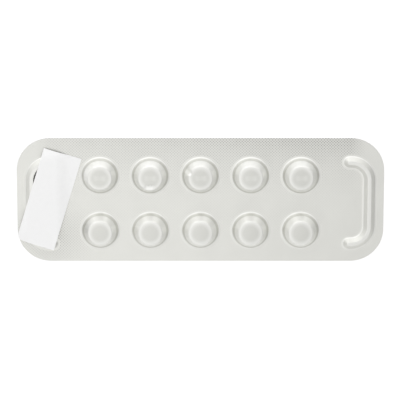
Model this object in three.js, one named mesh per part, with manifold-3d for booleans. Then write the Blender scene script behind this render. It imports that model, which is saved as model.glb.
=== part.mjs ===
// A sealed blister pack for ten round tablets, all foil, with a blank paper label.
// Two rows of five formed pockets stand on a thin die-cut flange, and a C-shaped
// stiffening rib closes each end. The label is stuck at a slant over the left rib.
//
// Units are millimetres. X runs along the pack, Y across it, Z up out of the pockets.
// The origin is the middle of the flat lidding face that the pack lies on.
import * as THREE from 'three';
import { mergeVertices } from 'three/addons/utils/BufferGeometryUtils.js';
import Module from 'manifold-3d';

// Foil flange
const packLength = 122;
const packWidth = 42.2;
const cornerRadius = 11;
const formedFoil = 0.15;
const liddingFoil = 0.05;
const flangeTop = formedFoil + liddingFoil;
const cornerSteps = 12;

// Formed pattern: the pockets and ribs were not quite central when the outline was cut
const patternShift = -1.05;

// Pockets
const pocketColumns = 5;
const pocketRows = 2;
const columnPitch = 16.7;
const rowPitch = 18.85;
const pocketHeight = 4;
const pocketFootRadius = 6.1;
const pocketShoulderRadius = 4;
const pocketFootFillet = 1;
const pocketShoulderFillet = 0.6;
const pocketCrown = 0.12;
const pocketSides = 36;
const filletSteps = 3;

// End ribs
const ribInset = 4.8;
const ribHalfSpan = 14;
const ribBendRadius = 6.1;
const ribArmLength = 0.6;
const ribHeight = 1.3;
const ribFootHalfWidth = 2.05;
const ribTopHalfWidth = 0.6;
const ribFootFillet = 0.8;
const ribTopFillet = 0.3;
const ribBendSteps = 8;
const ribEndSteps = 8;

// Paper label
const labelWidth = 13;
const labelLength = 32.6;
const labelThickness = 0.12;
const labelTilt = THREE.MathUtils.degToRad(-17);
const labelClearance = 0.75;
const labelAcross = 0.4;
const adhesive = 0.03;
const labelCrestMargin = 0.8;
const labelSlopeWidth = 5;
const labelEdgeTrim = 0.1;
const labelGrid = [13, 32];

const quarterTurn = Math.PI / 2;

const wasm = await Module();
wasm.setup();

// A closed geometry as a manifold-3d solid
function solidOf(geometry) {
  const bare = geometry.clone();
  for (const name of Object.keys(bare.attributes)) {
    if (name !== 'position') bare.deleteAttribute(name);
  }
  const merged = mergeVertices(bare, 1e-4);
  return new wasm.Manifold(new wasm.Mesh({
    numProp: 3,
    vertProperties: merged.attributes.position.array,
    triVerts: new Uint32Array(merged.index.array),
  }));
}

// A manifold-3d solid as a geometry that three.js can draw
function geometryOf(solid) {
  const mesh = solid.getMesh();
  const geometry = new THREE.BufferGeometry();
  geometry.setAttribute('position', new THREE.BufferAttribute(mesh.vertProperties, 3));
  geometry.setIndex(new THREE.BufferAttribute(mesh.triVerts, 1));
  geometry.computeVertexNormals();
  return geometry;
}

// The die-cut outline, drawn in by `trim` all round
function packOutline(trim) {
  const x = packLength / 2 - trim;
  const y = packWidth / 2 - trim;
  const r = cornerRadius - trim;
  const outline = new THREE.Shape();
  outline.absarc(x - r, y - r, r, 0, quarterTurn);
  outline.absarc(r - x, y - r, r, quarterTurn, 2 * quarterTurn);
  outline.absarc(r - x, r - y, r, 2 * quarterTurn, 3 * quarterTurn);
  outline.absarc(x - r, r - y, r, 3 * quarterTurn, 4 * quarterTurn);
  return outline;
}

function flange() {
  return new THREE.ExtrudeGeometry(packOutline(0), {
    depth: flangeTop,
    bevelEnabled: false,
    curveSegments: cornerSteps,
  });
}

// Section of a pressed form, as [distance from its middle, height above the flange] from
// foot to top: a hollow fillet off the flange, a straight wall and a rounded shoulder
function pressedSection({ foot, top, height, footFillet, topFillet }) {
  const slope = Math.atan2(height, foot - top);
  const section = [];
  const footStart = foot + footFillet * Math.tan(slope / 2);
  for (let i = 0; i <= filletSteps; i++) {
    const turn = slope * i / filletSteps;
    section.push([footStart - footFillet * Math.sin(turn), footFillet * (1 - Math.cos(turn))]);
  }
  const topEnd = top - topFillet * Math.tan(slope / 2);
  for (let i = filletSteps; i >= 0; i--) {
    const turn = slope * i / filletSteps;
    section.push([topEnd + topFillet * Math.sin(turn), height - topFillet * (1 - Math.cos(turn))]);
  }
  return section;
}

function pocketSection() {
  return pressedSection({
    foot: pocketFootRadius,
    top: pocketShoulderRadius,
    height: pocketHeight - pocketCrown,
    footFillet: pocketFootFillet,
    topFillet: pocketShoulderFillet,
  });
}

// One pocket with its tablet, round about Z, let into the flange down to the lidding foil
function pocket() {
  const section = pocketSection();
  const profile = [
    new THREE.Vector2(0, liddingFoil),
    new THREE.Vector2(section[0][0], liddingFoil),
    ...section.map(([r, z]) => new THREE.Vector2(r, flangeTop + z)),
    new THREE.Vector2(0, flangeTop + pocketHeight),
  ];
  return new THREE.LatheGeometry(profile, pocketSides).rotateX(quarterTurn);
}

function pocketCentre(column, row) {
  return new THREE.Vector2(
    (column - (pocketColumns - 1) / 2) * columnPitch,
    (row - (pocketRows - 1) / 2) * rowPitch + patternShift,
  );
}

// The right rib's middle line, from the end of its far arm round to the end of its near arm
function ribPath() {
  const x = packLength / 2 - ribInset;
  const bendX = x - ribBendRadius;
  const bendY = ribHalfSpan - ribBendRadius;
  const armEnd = bendX - ribArmLength;
  const path = [new THREE.Vector2(armEnd, ribHalfSpan)];
  for (let i = 0; i <= ribBendSteps; i++) {
    const turn = quarterTurn * (1 - i / ribBendSteps);
    path.push(new THREE.Vector2(
      bendX + ribBendRadius * Math.cos(turn),
      bendY + ribBendRadius * Math.sin(turn),
    ));
  }
  const near = path.map((p) => new THREE.Vector2(p.x, -p.y)).reverse();
  return [...path, ...near].map((p) => new THREE.Vector2(p.x, p.y + patternShift));
}

// The closed line at a distance from a path: down one side, round the end and back
function offsetLoop(path, distance) {
  const last = path.length - 1;
  const directions = path.map((_, i) => new THREE.Vector2()
    .subVectors(path[Math.min(i + 1, last)], path[Math.max(i - 1, 0)])
    .normalize());
  const point = (i, turn) => directions[i].clone()
    .rotateAround(new THREE.Vector2(), turn)
    .multiplyScalar(distance)
    .add(path[i]);
  const loop = [];
  for (let i = 0; i <= last; i++) loop.push(point(i, -quarterTurn));
  for (let k = 1; k < ribEndSteps; k++) loop.push(point(last, -quarterTurn + Math.PI * k / ribEndSteps));
  for (let i = last; i >= 0; i--) loop.push(point(i, quarterTurn));
  for (let k = 1; k < ribEndSteps; k++) loop.push(point(0, quarterTurn + Math.PI * k / ribEndSteps));
  return loop;
}

// A ridge along the path: a loft through the offset lines, one for each point of the section
function rib() {
  const section = pressedSection({
    foot: ribFootHalfWidth,
    top: ribTopHalfWidth,
    height: ribHeight,
    footFillet: ribFootFillet,
    topFillet: ribTopFillet,
  });
  const levels = [
    [section[0][0], liddingFoil],
    ...section.map(([distance, z]) => [distance, flangeTop + z]),
  ];
  const path = ribPath();
  const rings = levels.map(([distance]) => offsetLoop(path, distance));
  const count = rings[0].length;
  const positions = [];
  const faces = [];
  rings.forEach((ring, level) => {
    for (const p of ring) positions.push(p.x, p.y, levels[level][1]);
  });
  for (let level = 0; level < rings.length - 1; level++) {
    for (let i = 0; i < count; i++) {
      const a = level * count + i;
      const b = level * count + (i + 1) % count;
      faces.push(a, b, b + count, a, b + count, a + count);
    }
  }
  const topLevel = (rings.length - 1) * count;
  for (const [a, b, c] of THREE.ShapeUtils.triangulateShape(rings.at(-1), [])) {
    faces.push(topLevel + a, topLevel + b, topLevel + c);
  }
  for (const [a, b, c] of THREE.ShapeUtils.triangulateShape(rings[0], [])) {
    faces.push(c, b, a);
  }
  const geometry = new THREE.BufferGeometry();
  geometry.setAttribute('position', new THREE.Float32BufferAttribute(positions, 3));
  geometry.setIndex(faces);
  return geometry;
}

// The sealed pack: formed foil, lidding foil and what they hold, as the one piece it handles as
function blisterPack() {
  let solid = solidOf(flange());
  const onePocket = solidOf(pocket());
  for (let column = 0; column < pocketColumns; column++) {
    for (let row = 0; row < pocketRows; row++) {
      const centre = pocketCentre(column, row);
      solid = solid.add(onePocket.translate([centre.x, centre.y, 0]));
    }
  }
  const rightRib = solidOf(rib());
  solid = solid.add(rightRib).add(rightRib.mirror([1, 0, 0]));
  return geometryOf(solid);
}

// How far the label rises off the flange at a place. Stiff paper bridges the whole inside of the
// left rib's C at the height of its flat top, and comes down outside it in a smooth slope.
function labelRise(x, y) {
  const run = packLength / 2 - ribInset;
  const armEnd = run - ribBendRadius - ribArmLength;
  const alongRib = -x;
  const acrossRib = Math.abs(y - patternShift);
  const pastBendX = alongRib - (run - ribBendRadius);
  const pastBendY = acrossRib - (ribHalfSpan - ribBendRadius);
  const outside = pastBendX > 0 && pastBendY > 0
    ? Math.hypot(pastBendX, pastBendY) - ribBendRadius
    : Math.hypot(Math.max(armEnd - alongRib, alongRib - run, 0), Math.max(acrossRib - ribHalfSpan, 0));
  const crest = ribTopHalfWidth + labelCrestMargin;
  return ribHeight * (1 - THREE.MathUtils.smoothstep(outside, crest, crest + labelSlopeWidth));
}

// The label's middle along the pack: its long edge stays clear of the foot of the far pocket
// at the left end
function labelMiddle() {
  const nearest = pocketCentre(0, pocketRows - 1);
  const apart = labelWidth / 2 + labelClearance + pocketSection()[0][0];
  const across = (nearest.y - labelAcross) * Math.sin(labelTilt);
  return nearest.x - (apart - across) / Math.cos(labelTilt);
}

// A slip of paper laid over the rib, with the corner that would overhang cut off flush
function paperLabel() {
  const sheet = new THREE.BoxGeometry(labelWidth, labelLength, labelThickness, ...labelGrid, 1);
  sheet.rotateZ(labelTilt);
  sheet.translate(labelMiddle(), labelAcross, flangeTop + adhesive + labelThickness / 2);
  const position = sheet.attributes.position;
  for (let i = 0; i < position.count; i++) {
    const rise = labelRise(position.getX(i), position.getY(i));
    position.setZ(i, position.getZ(i) + rise);
  }
  const edge = new THREE.ExtrudeGeometry(packOutline(labelEdgeTrim), {
    depth: flangeTop + ribHeight + 2 * adhesive + labelThickness,
    bevelEnabled: false,
    curveSegments: cornerSteps,
  });
  return geometryOf(solidOf(sheet).intersect(solidOf(edge)));
}

const foilMaterial = new THREE.MeshStandardMaterial({ color: 0xd9dad4, metalness: 1, roughness: 0.35 });
const paperMaterial = new THREE.MeshStandardMaterial({ color: 0xf2f2f2, metalness: 0, roughness: 0.8 });

function piece(name, geometry, material) {
  const mesh = new THREE.Mesh(geometry, material);
  mesh.name = name;
  return mesh;
}

const blisterPackOfTablets = new THREE.Group();
blisterPackOfTablets.add(
  piece('blister_pack', blisterPack(), foilMaterial),
  piece('paper_label', paperLabel(), paperMaterial),
);

export default blisterPackOfTablets;
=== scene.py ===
# %% [markdown]
# A blister pack of ten tablets, all foil, lying on a white table with its pockets up.
# The model packed from the CAD solids is the fixed frame: it gives every size and place,
# and the finer pieces made here stand in the same space, in metres.

# %% Load the frame
import math

import bpy
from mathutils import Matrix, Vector


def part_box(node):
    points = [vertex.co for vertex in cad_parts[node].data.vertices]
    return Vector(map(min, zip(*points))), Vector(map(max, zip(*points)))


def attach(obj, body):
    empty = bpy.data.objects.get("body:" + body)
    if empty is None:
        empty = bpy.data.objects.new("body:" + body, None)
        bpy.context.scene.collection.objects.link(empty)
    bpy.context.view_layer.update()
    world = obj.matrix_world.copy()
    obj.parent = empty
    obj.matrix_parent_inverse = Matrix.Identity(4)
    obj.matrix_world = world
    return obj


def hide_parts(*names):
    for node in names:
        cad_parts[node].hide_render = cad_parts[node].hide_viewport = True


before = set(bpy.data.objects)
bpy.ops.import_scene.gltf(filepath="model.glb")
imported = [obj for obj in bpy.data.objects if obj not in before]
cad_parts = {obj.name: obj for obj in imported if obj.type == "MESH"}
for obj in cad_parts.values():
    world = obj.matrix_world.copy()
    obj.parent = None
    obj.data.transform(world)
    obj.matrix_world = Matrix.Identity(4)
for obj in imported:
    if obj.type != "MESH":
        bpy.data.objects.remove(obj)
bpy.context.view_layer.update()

# %% [markdown]
# The strip is pressed and sealed foil, so most of its form comes from three tools: a knurled
# heat-seal plate, round punches for the pockets and a C-shaped punch for each end rib.
# These are the tools' sizes. They are written in millimetres, and MM turns them to metres.

# %% Sizes of the strip
MM = 0.001
foil_low, foil_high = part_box("blister_pack")
PACK_LENGTH = foil_high.x - foil_low.x
PACK_WIDTH = foil_high.y - foil_low.y
CORNER_RADIUS = 11 * MM
FLANGE_TOP = 0.2 * MM
PATTERN_SHIFT = -1.05 * MM

COLUMNS, ROWS = 5, 2
COLUMN_PITCH = 16.7 * MM
ROW_PITCH = 18.85 * MM
POCKET_HEIGHT = foil_high.z - FLANGE_TOP
print("strip, mm:", round(PACK_LENGTH / MM, 2), "x", round(PACK_WIDTH / MM, 2))

# %% [markdown]
# A few moves come back in every piece: leave what was selected, go into edit mode, apply a
# piece's place to its mesh, and pick points by where they are. Each is a small function
# here, so that the steps below read as the modelling itself.


# %% Helpers for modelling
def start():
    """Leave edit mode with nothing selected, because an operator acts on all that is."""
    if bpy.context.object and bpy.context.object.mode != "OBJECT":
        bpy.ops.object.mode_set(mode="OBJECT")
    bpy.ops.object.select_all(action="DESELECT")


def edit(piece):
    start()
    bpy.context.view_layer.objects.active = piece
    piece.select_set(True)
    bpy.ops.object.mode_set(mode="EDIT")
    bpy.ops.mesh.select_mode(type="VERT")


def settle(piece):
    """Put the object at the origin, with its place in its mesh."""
    start()
    bpy.context.view_layer.objects.active = piece
    piece.select_set(True)
    bpy.ops.object.transform_apply(location=True, rotation=True, scale=True)
    return piece


def select_points(piece, wanted):
    """Select the vertices for which wanted(place) is true, as a hand would with a box."""
    bpy.ops.mesh.select_all(action="DESELECT")
    bpy.ops.mesh.select_mode(type="VERT")
    bpy.ops.object.mode_set(mode="OBJECT")
    for vertex in piece.data.vertices:
        vertex.select = bool(wanted(vertex.co))
    bpy.ops.object.mode_set(mode="EDIT")


# %% [markdown]
# A pressed form rises off the flange through a hollow fillet, a straight sloping wall and a
# rounded shoulder. It could be a revolved profile, but the ribs aren't round. Insetting the
# outline step by step, a little inwards and a little up each time, gives the same wall to
# any outline, as a punch does.

# %% The section of a pressed form
FILLET_STEPS = 5


def pressed_section(foot, top, height, foot_fillet, top_fillet):
    """Pairs of (distance from the middle, height above the flange), from foot to top."""
    slope = math.atan2(height, foot - top)
    foot_start = foot + foot_fillet * math.tan(slope / 2)
    top_end = top - top_fillet * math.tan(slope / 2)
    section = []
    for step in range(FILLET_STEPS + 1):
        turn = slope * step / FILLET_STEPS
        rise = foot_fillet * (1 - math.cos(turn))
        section.append((foot_start - foot_fillet * math.sin(turn), rise))
    for step in range(FILLET_STEPS, -1, -1):
        turn = slope * step / FILLET_STEPS
        drop = top_fillet * (1 - math.cos(turn))
        section.append((top_end + top_fillet * math.sin(turn), height - drop))
    return section


def press(section, margin):
    """Raise the selected bottom face to the flange, leave a flat margin, and press it up."""
    bpy.ops.mesh.extrude_region_move(TRANSFORM_OT_translate={"value": (0, 0, FLANGE_TOP)})
    bpy.ops.mesh.inset(thickness=margin, depth=0)
    for (outer, low), (inner, high) in zip(section, section[1:]):
        bpy.ops.mesh.inset(thickness=outer - inner, depth=high - low)


# %% [markdown]
# Each pocket holds a round tablet. The foil is drawn over it to a flat top, which bulges a
# touch in the middle. One pocket is modelled and then copied, so that all have the same wall.

# %% One pocket
POCKET_FOOT = 6.1 * MM
POCKET_SHOULDER = 4 * MM
POCKET_FOOT_FILLET = 1 * MM
POCKET_SHOULDER_FILLET = 0.6 * MM
POCKET_CROWN = 0.12 * MM
POCKET_SIDES = 72
POCKET_MARGIN = 0.25 * MM
CROWN_RINGS = 15

shoulder_height = POCKET_HEIGHT - POCKET_CROWN
pocket_section = pressed_section(
    POCKET_FOOT, POCKET_SHOULDER, shoulder_height, POCKET_FOOT_FILLET, POCKET_SHOULDER_FILLET
)
flat_radius = pocket_section[-1][0]
for ring in range(1, CROWN_RINGS + 1):
    share = 1 - ring / (CROWN_RINGS + 1)
    rise = POCKET_CROWN * (1 - share**2)
    pocket_section.append((flat_radius * share, shoulder_height + rise))


def make_pocket():
    start()
    bpy.ops.mesh.primitive_circle_add(
        vertices=POCKET_SIDES, radius=pocket_section[0][0] + POCKET_MARGIN, fill_type="NGON"
    )
    pocket = bpy.context.object
    edit(pocket)
    bpy.ops.mesh.select_all(action="SELECT")
    press(pocket_section, POCKET_MARGIN)
    bpy.ops.mesh.poke()
    bpy.ops.mesh.select_all(action="SELECT")
    bpy.ops.mesh.normals_make_consistent(inside=False)
    return settle(pocket)


pocket = make_pocket()
print("one pocket:", len(pocket.data.vertices), "points")

# %% [markdown]
# No two pockets come out quite alike. Handling dents the soft foil over the tablets, so the
# tops of the far row sag along a shallow trough, one has a small fold near its edge, and the
# middle one has a dimple. Proportional editing spreads each push over its surroundings.

# %% Dents
DENT_HALF_WIDTH = 0.35 * MM
TROUGH_HALF_LENGTH = 1.3 * MM
TROUGH_PUSH = (0, 0, -0.06 * MM)
TROUGH_REACH = 1.5 * MM
FOLD_X, FOLD_Y = -0.2 * MM, -3.3 * MM
FOLD_HALF_LENGTH = 1.1 * MM
FOLD_PUSH = (0, 0.1 * MM, -0.28 * MM)
FOLD_REACH = 0.8 * MM
DIMPLE_X, DIMPLE_Y = -3.7 * MM, 1.8 * MM
DIMPLE_PUSH = (0.3 * MM, -0.15 * MM, -0.35 * MM)
DIMPLE_REACH = 0.85 * MM
TOP_LEVEL = FLANGE_TOP + POCKET_HEIGHT - 3 * POCKET_CROWN


def push_in(piece, wanted, push, reach):
    edit(piece)
    select_points(piece, wanted)
    bpy.ops.transform.translate(
        value=push,
        use_proportional_edit=True,
        proportional_edit_falloff="SMOOTH",
        proportional_size=reach,
        use_proportional_connected=False,
    )
    start()


def in_trough(place):
    across = abs(place.y) < DENT_HALF_WIDTH
    return place.z > TOP_LEVEL and across and abs(place.x) < TROUGH_HALF_LENGTH


def in_fold(place):
    across = abs(place.y - FOLD_Y) < DENT_HALF_WIDTH
    return place.z > TOP_LEVEL and across and abs(place.x - FOLD_X) < FOLD_HALF_LENGTH


def in_dimple(place):
    away = math.hypot(place.x - DIMPLE_X, place.y - DIMPLE_Y)
    return place.z > POCKET_HEIGHT / 2 and away < DENT_HALF_WIDTH


# %% [markdown]
# The pockets stand in two rows of five. Each copy has its own mesh, so that the dents can
# differ from pocket to pocket before they take their places on the strip.

# %% Ten pockets
pockets = []
for column in range(COLUMNS):
    for row in range(ROWS):
        x = (column - (COLUMNS - 1) / 2) * COLUMN_PITCH
        y = (row - (ROWS - 1) / 2) * ROW_PITCH + PATTERN_SHIFT
        one = pocket.copy()
        one.data = pocket.data.copy()
        bpy.context.scene.collection.objects.link(one)
        if row == 1:
            push_in(one, in_trough, TROUGH_PUSH, TROUGH_REACH)
        if (column, row) == (1, 1):
            push_in(one, in_fold, FOLD_PUSH, FOLD_REACH)
        if (column, row) == (2, 1):
            push_in(one, in_dimple, DIMPLE_PUSH, DIMPLE_REACH)
        one.location = (x, y, 0)
        pockets.append(settle(one))
bpy.data.objects.remove(pocket)
print("pockets:", len(pockets))

# %% [markdown]
# The rib at each end keeps the strip from bending. Seen from above it is a C with round arm
# ends, so its outline is drawn as a pen would draw it: one point is extruded along the
# straight runs and spun round the bends, and the closed line is filled.

# %% The rib's outline
RIB_INSET = 4.8 * MM
RIB_HALF_SPAN = 14 * MM
RIB_BEND = 6.1 * MM
RIB_ARM = 0.6 * MM
RIB_HEIGHT = 1.3 * MM
RIB_FOOT = 2.05 * MM
RIB_TOP = 0.6 * MM
RIB_FOOT_FILLET = 0.8 * MM
RIB_TOP_FILLET = 0.3 * MM
RIB_MARGIN = 0.3 * MM
BEND_STEPS = 14
END_STEPS = 14
PEN_MERGE = 0.001 * MM

run_x = PACK_LENGTH / 2 - RIB_INSET
bend_x = run_x - RIB_BEND
arm_x = bend_x - RIB_ARM
bend_y = RIB_HALF_SPAN - RIB_BEND


def pen_line(x, y):
    bpy.ops.mesh.extrude_region_move(TRANSFORM_OT_translate={"value": (x, y, 0)})


def pen_arc(x, y, degrees, steps):
    """Turn about a centre, degrees to the left. With no window, spin turns the other way."""
    centre = (x, y + PATTERN_SHIFT, 0)
    bpy.ops.mesh.spin(steps=steps, angle=-math.radians(degrees), center=centre, axis=(0, 0, 1))


def close_line():
    """Join the pen's last point to its first, and fill the line."""
    bpy.ops.mesh.select_all(action="SELECT")
    bpy.ops.mesh.remove_doubles(threshold=PEN_MERGE)
    bpy.ops.mesh.select_all(action="SELECT")
    bpy.ops.mesh.edge_face_add()
    bpy.ops.mesh.select_all(action="SELECT")
    bpy.ops.mesh.normals_make_consistent(inside=False)


def rib_outline(half_width):
    """A filled C, half_width to each side of the right rib's middle line."""
    start()
    corner = (arm_x, RIB_HALF_SPAN + half_width + PATTERN_SHIFT, 0)
    bpy.ops.mesh.primitive_plane_add(size=MM, location=corner)
    band = settle(bpy.context.object)
    edit(band)
    bpy.ops.mesh.select_all(action="SELECT")
    bpy.ops.mesh.merge(type="CENTER")
    pen_line(RIB_ARM, 0)
    pen_arc(bend_x, bend_y, -90, BEND_STEPS)
    pen_line(0, -2 * bend_y)
    pen_arc(bend_x, -bend_y, -90, BEND_STEPS)
    pen_line(-RIB_ARM, 0)
    pen_arc(arm_x, -RIB_HALF_SPAN, -180, END_STEPS)
    pen_line(RIB_ARM, 0)
    pen_arc(bend_x, -bend_y, 90, BEND_STEPS)
    pen_line(0, 2 * bend_y)
    pen_arc(bend_x, bend_y, 90, BEND_STEPS)
    pen_line(-RIB_ARM, 0)
    pen_arc(arm_x, RIB_HALF_SPAN, -180, END_STEPS)
    close_line()
    return band


# %% [markdown]
# The filled C is pressed up like a pocket, with a lower and softer section. The rib at the
# other end is its mirror image. A mirrored mesh is inside out, so its normals are made anew.


# %% Two ribs
def mirrored(piece):
    """The same piece at the other end of the strip."""
    twin = piece.copy()
    twin.data = piece.data.copy()
    bpy.context.scene.collection.objects.link(twin)
    twin.scale = (-1, 1, 1)
    settle(twin)
    edit(twin)
    bpy.ops.mesh.select_all(action="SELECT")
    bpy.ops.mesh.normals_make_consistent(inside=False)
    start()
    return twin


rib_section = pressed_section(RIB_FOOT, RIB_TOP, RIB_HEIGHT, RIB_FOOT_FILLET, RIB_TOP_FILLET)
rib = rib_outline(rib_section[0][0] + RIB_MARGIN)
bpy.ops.mesh.select_all(action="SELECT")
press(rib_section, RIB_MARGIN)
bpy.ops.mesh.select_all(action="SELECT")
bpy.ops.mesh.normals_make_consistent(inside=False)
start()
ribs = [rib, mirrored(rib)]
print("ribs:", [len(r.data.polygons) for r in ribs], "faces")

# %% [markdown]
# The heat-seal plates leave a knurl: a net of fine ridges at 45 degrees with a pit in each
# mesh, pressed through both foils. A bump map would draw it, but real pits catch light from
# any side. The net is a grid whose points are high and low in turn, like a chessboard, and
# each square is split along its high diagonal, which makes the ridges.

# %% The plain sheet
KNURL_PITCH = 0.675 * MM
RIDGE_LEVEL = FLANGE_TOP - 0.01 * MM
SHEET_BOTTOM = 0.005 * MM
grid_step = KNURL_PITCH / math.sqrt(2)
cells_x = 2 * math.ceil(PACK_LENGTH / 2 / grid_step + 1)
cells_y = 2 * math.ceil(PACK_WIDTH / 2 / grid_step + 1)

start()
bpy.ops.mesh.primitive_grid_add(
    x_subdivisions=cells_x, y_subdivisions=cells_y, size=1, location=(0, 0, RIDGE_LEVEL)
)
foil = settle(bpy.context.object)
foil.name = "formed_foil"
edit(foil)
bpy.ops.mesh.select_all(action="SELECT")
bpy.ops.transform.resize(value=(cells_x * grid_step, cells_y * grid_step, 1))


def is_pit(place):
    return (round(place.x / grid_step) + round(place.y / grid_step)) % 2 == 1


select_points(foil, lambda place: not is_pit(place))
bpy.ops.mesh.vert_connect()
bpy.ops.mesh.select_all(action="SELECT")
to_bottom = (0, 0, SHEET_BOTTOM - RIDGE_LEVEL)
bpy.ops.mesh.extrude_region_move(TRANSFORM_OT_translate={"value": to_bottom})
bpy.ops.mesh.select_all(action="SELECT")
bpy.ops.mesh.normals_make_consistent(inside=False)
print("plain sheet:", cells_x, "x", cells_y, "squares")

# %% [markdown]
# A seal plate never bites evenly. Here it bites deepest along the far edge and at one near
# corner, hardly in the middle, and fades out beyond the ribs. The pits are pressed down in
# short strokes, and each stroke takes only the pits that are to go deeper still.

# %% Pressing the knurl
KNURL_DEPTH = 0.17 * MM
KNURL_LEAST = 0.03 * MM
LIDDING_KNURL = 0.03 * MM
PRESS_STEP = 0.01 * MM
DEEP_FROM, DEEP_TO = 2 * MM, 20 * MM
DEEP_CURVE = 1.5
MIDDLE_BITE, BITE_GAIN = 0.8, 0.6
SMOOTH_FROM, SMOOTH_WIDTH = 50 * MM, 5 * MM
NEAR_CORNER = Vector((-50 * MM, -13 * MM))
CORNER_REACH = 15 * MM
LEVEL_TOLERANCE = 0.001 * MM


def knurl_depth(place):
    far = min(max((place.y - DEEP_FROM) / (DEEP_TO - DEEP_FROM), 0), 1) ** DEEP_CURVE
    right = min(MIDDLE_BITE + BITE_GAIN * place.x / PACK_LENGTH, 1)
    inner = min(max(1 - (abs(place.x) - SMOOTH_FROM) / SMOOTH_WIDTH, 0), 1)
    corner = 1 - (place.xy - NEAR_CORNER).length / CORNER_REACH
    return KNURL_LEAST + (KNURL_DEPTH - KNURL_LEAST) * max(far * right * inner, corner, 0)


def goes_deeper(place, pressed):
    """Whether a pit of the upper side is still to be pressed, after so much of it."""
    return is_pit(place) and place.z > SHEET_BOTTOM + PRESS_STEP and knurl_depth(place) > pressed


for stroke in range(round(KNURL_DEPTH / PRESS_STEP)):
    select_points(foil, lambda place: goes_deeper(place, stroke * PRESS_STEP))
    bpy.ops.transform.translate(value=(0, 0, -PRESS_STEP))
select_points(foil, lambda place: is_pit(place) and place.z < SHEET_BOTTOM + LEVEL_TOLERANCE)
bpy.ops.transform.translate(value=(0, 0, LIDDING_KNURL))
start()
print("knurled sheet:", len(foil.data.polygons), "faces")

# %% [markdown]
# The sealed web is die-cut to the strip's outline last, as on the packing line. The cutter
# is a box whose upright edges are rounded, and what is common to both is kept. Then the
# pockets and ribs are joined to the sheet, and points that fall together are merged.


# %% The die-cut outline
CUTTER_REACH = 10 * MM
CORNER_STEPS = 24
SEAM_MERGE = 0.0005 * MM
CREASE_ANGLE = math.radians(60)


def boolean(piece, tool, operation):
    """Join two forms or keep what is common, then throw the tool away."""
    start()
    bpy.context.view_layer.objects.active = piece
    piece.select_set(True)
    modifier = piece.modifiers.new("combine", "BOOLEAN")
    modifier.operation = operation
    modifier.object = tool
    modifier.solver = "MANIFOLD"
    bpy.ops.object.modifier_apply(modifier=modifier.name)
    bpy.data.objects.remove(tool)


def die(trim):
    """A cutter of the strip's outline, drawn in by the trim."""
    start()
    bpy.ops.mesh.primitive_cube_add(size=1)
    box = bpy.context.object
    box.scale = (PACK_LENGTH - 2 * trim, PACK_WIDTH - 2 * trim, 2 * CUTTER_REACH)
    settle(box)
    edit(box)
    bpy.ops.mesh.select_all(action="DESELECT")
    bpy.ops.mesh.select_mode(type="EDGE")
    bpy.ops.object.mode_set(mode="OBJECT")
    for side in box.data.edges:
        a, b = (box.data.vertices[i].co for i in side.vertices)
        side.select = abs(a.z - b.z) > CUTTER_REACH
    bpy.ops.object.mode_set(mode="EDIT")
    bpy.ops.mesh.bevel(offset=CORNER_RADIUS - trim, segments=CORNER_STEPS, affect="EDGES")
    start()
    return box


boolean(foil, die(0), "INTERSECT")
for form in pockets + ribs:
    boolean(foil, form, "UNION")
edit(foil)
bpy.ops.mesh.select_all(action="SELECT")
bpy.ops.mesh.remove_doubles(threshold=SEAM_MERGE)
start()
bpy.context.view_layer.objects.active = foil
foil.select_set(True)
bpy.ops.object.shade_smooth_by_angle(angle=CREASE_ANGLE)
print("formed foil:", len(foil.data.polygons), "faces")

# %% [markdown]
# A slip of paper is stuck over the rib at one end. It could be draped by a cloth
# simulation, but stiff paper simply bridges the inside of the C and comes down outside it
# in an easy slope, so a soft form of that shape is pressed up first. A plane a hair below
# the flange stands in for the flat foil around it.

# %% The form under the label
CREST_MARGIN = 0.8 * MM
SLOPE_WIDTH = 5 * MM
SLOPE_STEPS = 12
FLAT_SINK = 0.001 * MM

crest = RIB_TOP + CREST_MARGIN
drape_section = []
for step in range(SLOPE_STEPS + 1):
    share = step / SLOPE_STEPS
    climb = share * share * (3 - 2 * share)
    drape_section.append((crest + SLOPE_WIDTH * (1 - share), RIB_HEIGHT * climb))


def bridge_outline(distance):
    """The right rib's C with its open side closed, at a distance outside its middle line."""
    start()
    corner = (arm_x, RIB_HALF_SPAN + distance + PATTERN_SHIFT, 0)
    bpy.ops.mesh.primitive_plane_add(size=MM, location=corner)
    form = settle(bpy.context.object)
    edit(form)
    bpy.ops.mesh.select_all(action="SELECT")
    bpy.ops.mesh.merge(type="CENTER")
    pen_line(RIB_ARM, 0)
    pen_arc(bend_x, bend_y, -90, BEND_STEPS)
    pen_line(0, -2 * bend_y)
    pen_arc(bend_x, -bend_y, -90, BEND_STEPS)
    pen_line(-RIB_ARM, 0)
    pen_arc(arm_x, -RIB_HALF_SPAN, -90, BEND_STEPS)
    pen_line(0, 2 * RIB_HALF_SPAN)
    pen_arc(arm_x, RIB_HALF_SPAN, -90, BEND_STEPS)
    close_line()
    return form


drape_form = bridge_outline(drape_section[0][0] + RIB_MARGIN)
bpy.ops.mesh.select_all(action="SELECT")
press(drape_section, RIB_MARGIN)
bpy.ops.mesh.select_all(action="SELECT")
bpy.ops.mesh.normals_make_consistent(inside=False)
start()
drape_left = mirrored(drape_form)
bpy.data.objects.remove(drape_form)

start()
around_left_end = (-PACK_LENGTH / 2, 0, FLANGE_TOP - FLAT_SINK)
bpy.ops.mesh.primitive_plane_add(size=PACK_LENGTH, location=around_left_end)
label_form = settle(bpy.context.object)
start()
drape_left.select_set(True)
label_form.select_set(True)
bpy.context.view_layer.objects.active = label_form
bpy.ops.object.join()
print("form under the label:", len(label_form.data.polygons), "faces")

# %% [markdown]
# The slip lies at a slant, and clears the foot of the nearest pocket by a set distance. A
# fine grid starts above the form, and a shrinkwrap drops every point straight down onto it.
# The sheet then gets its thickness, and the die trims it flush with the foil.

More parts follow.
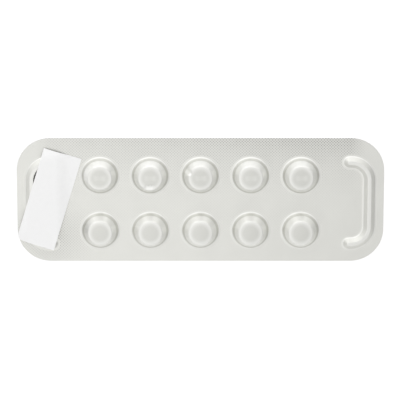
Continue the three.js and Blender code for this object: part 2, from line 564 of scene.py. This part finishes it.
# %% The paper label
LABEL_WIDTH = 13 * MM
LABEL_LENGTH = 32.6 * MM
LABEL_THICKNESS = 0.12 * MM
LABEL_TILT = math.radians(-17)
LABEL_ACROSS = 0.4 * MM
LABEL_CLEARANCE = 0.75 * MM
LABEL_CELL = 0.3 * MM
ADHESIVE = 0.03 * MM
EDGE_TRIM = 0.1 * MM
FOLD_ANGLE = math.radians(40)

first_x = -(COLUMNS - 1) / 2 * COLUMN_PITCH
far_y = (ROWS - 1) / 2 * ROW_PITCH + PATTERN_SHIFT
apart = LABEL_WIDTH / 2 + LABEL_CLEARANCE + pocket_section[0][0]
lean = (far_y - LABEL_ACROSS) * math.sin(LABEL_TILT)
label_x = first_x - (apart - lean) / math.cos(LABEL_TILT)

start()
bpy.ops.mesh.primitive_grid_add(
    x_subdivisions=round(LABEL_WIDTH / LABEL_CELL),
    y_subdivisions=round(LABEL_LENGTH / LABEL_CELL),
    size=1,
    location=(label_x, LABEL_ACROSS, 2 * RIB_HEIGHT),
)
label = bpy.context.object
label.name = "label"
label.scale = (LABEL_WIDTH, LABEL_LENGTH, 1)
label.rotation_euler = (0, 0, LABEL_TILT)
settle(label)
wrap = label.modifiers.new("drape", "SHRINKWRAP")
wrap.target = label_form
wrap.wrap_method = "PROJECT"
wrap.use_project_z = True
wrap.use_negative_direction = True
wrap.use_positive_direction = False
bpy.ops.object.modifier_apply(modifier=wrap.name)
edit(label)
bpy.ops.mesh.select_all(action="SELECT")
bpy.ops.transform.translate(value=(0, 0, ADHESIVE))
bpy.ops.mesh.extrude_region_move(TRANSFORM_OT_translate={"value": (0, 0, LABEL_THICKNESS)})
bpy.ops.mesh.select_all(action="SELECT")
bpy.ops.mesh.normals_make_consistent(inside=False)
start()
bpy.data.objects.remove(label_form)
boolean(label, die(EDGE_TRIM), "INTERSECT")
start()
bpy.context.view_layer.objects.active = label
label.select_set(True)
bpy.ops.object.shade_smooth_by_angle(angle=FOLD_ANGLE)
print("label top, mm:", round(max(v.co.z for v in label.data.vertices) / MM, 3))

# %% [markdown]
# The new pieces stand for the CAD solids, and ride on the one body that the strip is.

# %% Tie the pieces to the frame
PIECES = ((foil, "blister_pack", "aluminium_foil"), (label, "paper_label", "white_paper"))
for piece, node, slot in PIECES:
    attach(piece, "root")
    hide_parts(node)
print("tied:", [piece.name for piece, node, slot in PIECES])

# %% [markdown]
# Every material is named for the stuff itself. Colours are written as sRGB hex, as they
# are picked off a print or a screen, and one function turns them to the linear values that
# the shader works in.


# %% Helpers for materials
def linear(hex_colour):
    """An sRGB hex colour as the linear colour and alpha that a shader takes."""
    channels = [int(hex_colour[i:i + 2], 16) / 255 for i in (0, 2, 4)]
    return (*[c / 12.92 if c <= 0.04045 else ((c + 0.055) / 1.055) ** 2.4 for c in channels], 1)


def add_node(tree, kind, inputs=(), **settings):
    """A node with its settings, and its inputs as values or as links from other nodes."""
    node = tree.nodes.new(kind)
    for name, value in settings.items():
        setattr(node, name, value)
    for key, value in dict(inputs).items():
        if isinstance(value, bpy.types.NodeSocket):
            tree.links.new(value, node.inputs[key])
        else:
            node.inputs[key].default_value = value
    return node


def new_material(name):
    material = bpy.data.materials.new(name)
    material.use_nodes = True
    material.node_tree.nodes.clear()
    return material, material.node_tree


def per_mm(size):
    """A noise scale whose features are about that many millimetres across."""
    return 1 / (size * MM)


# %% [markdown]
# The formed foil is cold-formed aluminium laminate: rolled aluminium between plastic films.
# The film's matt side turns the metal's reflection satin, and drawing the foil leaves soft
# unevenness nearly a centimetre wide. The film's own grain is a few hundredths of a
# millimetre, too fine to show, so it is drawn coarser, at a third of a millimetre. The
# metal's whiteness follows height, in a ramp that paints shade into the knurl's pits and
# highlight onto the foot line, the walls and the shoulders. It could be painted by hand, but a
# ramp keeps all ten pockets alike.


# %% A satin metal with shade and highlight painted by height
SWAY_SIZE, SWAY_DEPTH = 9, 0.12 * MM
GRAIN_SIZE = 0.35
GRAIN_LOW, GRAIN_HIGH = 0.3, 0.7
CLOUD = "F8F8F8"


def colour_and_painted_light_by_height(tree, place, tones_with_painted_light):
    """Colour by height, from pairs of (height, colour), with the painted shade and highlight they
    hold.
    """
    full_height = foil_high.z - foil_low.z
    height = add_node(tree, "ShaderNodeSeparateXYZ", {0: place}).outputs["Z"]
    share = add_node(
        tree, "ShaderNodeMapRange", {"Value": height, "From Min": 0, "From Max": full_height}
    )
    ramp = add_node(tree, "ShaderNodeValToRGB", {"Fac": share.outputs["Result"]})
    while len(ramp.color_ramp.elements) < len(tones_with_painted_light):
        ramp.color_ramp.elements.new(0.5)
    for element, (level, hex_colour) in zip(ramp.color_ramp.elements, tones_with_painted_light):
        element.position = level / full_height
        element.color = linear(hex_colour)
    return ramp.outputs["Color"]


def foil_material(name, tones_with_painted_light, rough_low, rough_high, grain_depth):
    material, tree = new_material(name)
    place = add_node(tree, "ShaderNodeTexCoord").outputs["Object"]
    sway = add_node(
        tree, "ShaderNodeTexNoise", {"Vector": place, "Scale": per_mm(SWAY_SIZE), "Detail": 2}
    ).outputs["Fac"]
    grain = add_node(
        tree, "ShaderNodeTexNoise", {"Vector": place, "Scale": per_mm(GRAIN_SIZE), "Detail": 3}
    ).outputs["Fac"]
    # the height ramp's painted shade and highlight, clouded by the drawing's unevenness
    painted_light_and_cloud = add_node(
        tree, "ShaderNodeMix",
        {"Factor": sway, "A": colour_and_painted_light_by_height(tree, place, tones_with_painted_light), "B": linear(CLOUD)},
        data_type="RGBA", blend_type="MULTIPLY",
    )
    rough = add_node(
        tree, "ShaderNodeMapRange",
        {"Value": grain, "From Min": GRAIN_LOW, "From Max": GRAIN_HIGH,
         "To Min": rough_low, "To Max": rough_high},
    )
    wave = add_node(
        tree, "ShaderNodeBump", {"Height": sway, "Distance": SWAY_DEPTH, "Strength": 1}
    )
    fine = add_node(
        tree, "ShaderNodeBump",
        {"Height": grain, "Distance": grain_depth, "Strength": 1, "Normal": wave.outputs["Normal"]},
    )
    shader = add_node(
        tree, "ShaderNodeBsdfPrincipled",
        {"Base Color": painted_light_and_cloud.outputs["Result"], "Metallic": 1,
         "Roughness": rough.outputs["Result"], "Normal": fine.outputs["Normal"]},
    )
    add_node(tree, "ShaderNodeOutputMaterial", {"Surface": shader.outputs["BSDF"]})
    return material


# %% [markdown]
# On the pocket side the pits are painted dark, as painted shade, and the foot line, the
# walls and the shoulders are painted lighter, as painted highlight, while the tops are a
# darker grey. Each tone stands at its own height. The lidding under it is hard aluminium
# foil with a thin lacquer, a little glossier, and its pits are painted darker, as painted
# shade. A face takes one or the other by the way it looks, up or down.

# %% Foil materials
LAMINATE_TONES_WITH_PAINTED_LIGHT = [
    # painted shade: the knurl's pits go nearly black, and deeper pits are darker
    (RIDGE_LEVEL - KNURL_DEPTH, "2C2C2A"),
    (0.1 * MM, "C6C6C2"),
    (RIDGE_LEVEL, "E3E3DE"),
    (0.23 * MM, "E3E3DE"),
    # painted highlight: the foot line is lighter than the flange
    (0.29 * MM, "F8F8F5"),
    (0.45 * MM, "E0E0DB"),
    (1.4 * MM, "E0E0DB"),
    # painted highlight: the walls and shoulders are lighter than the flange and the tops
    (1.7 * MM, "F8F8F5"),
    (3.7 * MM, "F8F8F5"),
    (4.08 * MM, "EAEAE6"),
    (4.15 * MM, "D6D6D1"),
]
LIDDING_TONES_WITH_PAINTED_SHADE = [
    (SHEET_BOTTOM, "E0E1DF"),
    # painted shade: the lidding's pits are darker than its flat
    (SHEET_BOTTOM + LIDDING_KNURL, "C8C9C5"),
]
DOWNWARD = -0.5

foil.data.materials.clear()
laminate = foil_material(
    "cold_formed_aluminium_laminate", LAMINATE_TONES_WITH_PAINTED_LIGHT,
    rough_low=0.4, rough_high=0.48, grain_depth=0.006 * MM,
)
lidding = foil_material(
    "lacquered_hard_aluminium_foil", LIDDING_TONES_WITH_PAINTED_SHADE,
    rough_low=0.26, rough_high=0.36, grain_depth=0.004 * MM,
)
foil.data.materials.append(laminate)
foil.data.materials.append(lidding)
for face in foil.data.polygons:
    face.material_index = 1 if face.normal.z < DOWNWARD else 0
print("foil materials:", [material.name for material in foil.data.materials])

# %% [markdown]
# The label is uncoated white paper. Its fibres give it a very matt surface and a faint
# cloudiness, without any print, and let a little of the light through. Real fibres are a
# few hundredths of a millimetre wide, too fine to show, so they are drawn at 0.12 mm.


# %% Uncoated white paper
PAPER_LIGHT, PAPER_DARK, PAPER_THROUGH = "FBFBFB", "F7F7F7", "FAFAF6"
PAPER_ROUGHNESS = 0.85
SHINE_THROUGH = 0.1
CLOUD_SIZE = 1.5
FIBRE_SIZE, FIBRE_DEPTH, FIBRE_STRENGTH = 0.12, 0.01 * MM, 0.5


def paper_material():
    material, tree = new_material("uncoated_white_paper")
    place = add_node(tree, "ShaderNodeTexCoord").outputs["Object"]
    cloud = add_node(
        tree, "ShaderNodeTexNoise", {"Vector": place, "Scale": per_mm(CLOUD_SIZE), "Detail": 4}
    ).outputs["Fac"]
    fibre = add_node(
        tree, "ShaderNodeTexNoise", {"Vector": place, "Scale": per_mm(FIBRE_SIZE), "Detail": 2}
    ).outputs["Fac"]
    mix = add_node(
        tree, "ShaderNodeMix",
        {"Factor": cloud, "A": linear(PAPER_LIGHT), "B": linear(PAPER_DARK)}, data_type="RGBA",
    )
    bump = add_node(
        tree, "ShaderNodeBump",
        {"Height": fibre, "Distance": FIBRE_DEPTH, "Strength": FIBRE_STRENGTH},
    )
    shader = add_node(
        tree, "ShaderNodeBsdfPrincipled",
        {"Base Color": mix.outputs["Result"], "Roughness": PAPER_ROUGHNESS,
         "Normal": bump.outputs["Normal"]},
    )
    through = add_node(tree, "ShaderNodeBsdfTranslucent", {"Color": linear(PAPER_THROUGH)})
    sheet = add_node(
        tree, "ShaderNodeMixShader",
        {0: SHINE_THROUGH, 1: shader.outputs["BSDF"], 2: through.outputs["BSDF"]},
    )
    add_node(tree, "ShaderNodeOutputMaterial", {"Surface": sheet.outputs[0]})
    return material


label.data.materials.clear()
label.data.materials.append(paper_material())
print("label material:", label.data.materials[0].name)

# %% [markdown]
# The strip lies on a white table. The table's own colour is a pale grey-white that keeps
# the strip's shadow, and a little light that only the camera and reflections see lifts it
# to clean white.

# %% The table
FLOOR_SIZE = 3.0
FLOOR_GAP = 0.02 * MM
TABLE_COLOUR, GLOW_COLOUR = "E8E8E8", "FFFFFF"
TABLE_GLOW = 0.3

start()
bpy.ops.mesh.primitive_plane_add(size=FLOOR_SIZE, location=(0, 0, foil_low.z - FLOOR_GAP))
floor = settle(bpy.context.object)
floor.name = "table_top"

table_material, tree = new_material("matt_white_table")
path = add_node(tree, "ShaderNodeLightPath")
seen = add_node(
    tree, "ShaderNodeMath",
    {0: path.outputs["Is Camera Ray"], 1: path.outputs["Is Glossy Ray"]}, operation="MAXIMUM",
)
seen_all = add_node(
    tree, "ShaderNodeMath",
    {0: seen.outputs[0], 1: path.outputs["Is Transmission Ray"]}, operation="MAXIMUM",
)
lift = add_node(
    tree, "ShaderNodeMath", {0: seen_all.outputs[0], 1: TABLE_GLOW}, operation="MULTIPLY"
)
surface = add_node(tree, "ShaderNodeBsdfDiffuse", {"Color": linear(TABLE_COLOUR)})
glow = add_node(
    tree, "ShaderNodeEmission", {"Color": linear(GLOW_COLOUR), "Strength": lift.outputs[0]}
)
both = add_node(tree, "ShaderNodeAddShader", {0: surface.outputs[0], 1: glow.outputs[0]})
add_node(tree, "ShaderNodeOutputMaterial", {"Surface": both.outputs[0]})
floor.data.materials.append(table_material)
print("table at, mm:", round((foil_low.z - FLOOR_GAP) / MM, 3))

# %% [markdown]
# A studio tent lights the strip. Satin foil shows its surroundings, so the shape of this
# light is what models the pockets: the tent is bright behind the strip, a little darker
# overhead where the flat foil mirrors it, and dark low at the right end. It is built as two
# ramps, one along the strip and one across it, that are multiplied.

# %% The tent
world = bpy.data.worlds.new("studio_tent")
bpy.context.scene.world = world
world.use_nodes = True
tree = world.node_tree
tree.nodes.clear()
around = add_node(tree, "ShaderNodeTexCoord").outputs["Generated"]
way = add_node(tree, "ShaderNodeSeparateXYZ", {0: around})


def falloff(axis, stops):
    """Brightness along one axis of the sky, as pairs of (direction from -1 to 1, brightness)."""
    place = add_node(
        tree, "ShaderNodeMapRange", {"Value": way.outputs[axis], "From Min": -1, "From Max": 1}
    )
    ramp = add_node(tree, "ShaderNodeValToRGB", {"Fac": place.outputs["Result"]})
    ramp.color_ramp.interpolation = "EASE"
    while len(ramp.color_ramp.elements) < len(stops):
        ramp.color_ramp.elements.new(0.5)
    for element, (direction, brightness) in zip(ramp.color_ramp.elements, stops):
        element.position = (direction + 1) / 2
        element.color = (brightness, brightness, brightness, 1)
    return ramp.outputs["Color"]


SKY_LEVEL = 1.27
SKY_COLOUR = "FFFFFF"
ALONG = [
    (-1, 0.98), (-0.75, 0.93), (-0.35, 1), (0, 0.905), (0.35, 0.95), (0.75, 0.84), (1, 0.5),
]
ACROSS = [
    (-1, 0.8), (-0.7, 0.78), (-0.4, 0.71), (-0.2, 0.69),
    (0.1, 0.76), (0.45, 0.93), (0.8, 0.94), (1, 0.88),
]
shape = add_node(
    tree, "ShaderNodeMath", {0: falloff("X", ALONG), 1: falloff("Y", ACROSS)},
    operation="MULTIPLY",
)
level = add_node(
    tree, "ShaderNodeMath", {0: shape.outputs[0], 1: SKY_LEVEL}, operation="MULTIPLY"
)
sky = add_node(
    tree, "ShaderNodeBackground", {"Color": linear(SKY_COLOUR), "Strength": level.outputs[0]}
)
add_node(tree, "ShaderNodeOutputWorld", {"Surface": sky.outputs[0]})
print("tent level:", SKY_LEVEL)

# %% [markdown]
# Three weak lamps finish the light: two long boxes low and high behind the strip, for the
# far walls of the pockets, and one over the near left side. A stronger box behind would
# clip the foil to white when it is seen from the front. Places and sizes are in metres,
# and power is in watts.


# %% Softboxes
def softbox(name, place, size, power):
    """A rectangular lamp that points at the middle of the strip."""
    lamp = bpy.data.lights.new(name, "AREA")
    lamp.shape = "RECTANGLE"
    lamp.size, lamp.size_y = size
    lamp.energy = power
    box = bpy.data.objects.new(name, lamp)
    box.location = place
    box.rotation_euler = (-Vector(place)).to_track_quat("-Z", "Y").to_euler()
    bpy.context.scene.collection.objects.link(box)
    return box


lamps = [
    softbox("back_softbox", place=(-0.05, 0.2, 0.055), size=(0.56, 0.11), power=0.06),
    softbox("high_softbox", place=(-0.03, 0.2, 0.13), size=(0.3, 0.08), power=0.03),
    softbox("left_softbox", place=(-0.06, -0.08, 0.3), size=(0.16, 0.2), power=0.05),
]
print("lamps:", [lamp.name for lamp in lamps])

# %% [markdown]
# The picture is taken a little off the vertical, so the camera leans 15 degrees. A long
# lens from a metre away keeps the rows parallel. Blender takes the sensor and the lens in
# millimetres.

# %% The camera
CAMERA_LEAN = math.radians(15)
CAMERA_DISTANCE = 1.0
SENSOR = 36
LENS = 270.3
AIM = Vector((-0.15 * MM, -0.04 * MM, 0.2 * MM))

camera_data = bpy.data.cameras.new("camera")
camera_data.sensor_width = SENSOR
camera_data.lens = LENS
camera = bpy.data.objects.new("camera", camera_data)
lean_back = Vector((0, math.sin(CAMERA_LEAN), math.cos(CAMERA_LEAN)))
camera.location = AIM + CAMERA_DISTANCE * lean_back
camera.rotation_euler = (-CAMERA_LEAN, 0, 0)
bpy.context.scene.collection.objects.link(camera)
bpy.context.scene.camera = camera
bpy.context.scene.view_settings.view_transform = "Standard"
print("camera, mm:", [round(c / MM, 1) for c in camera.location])
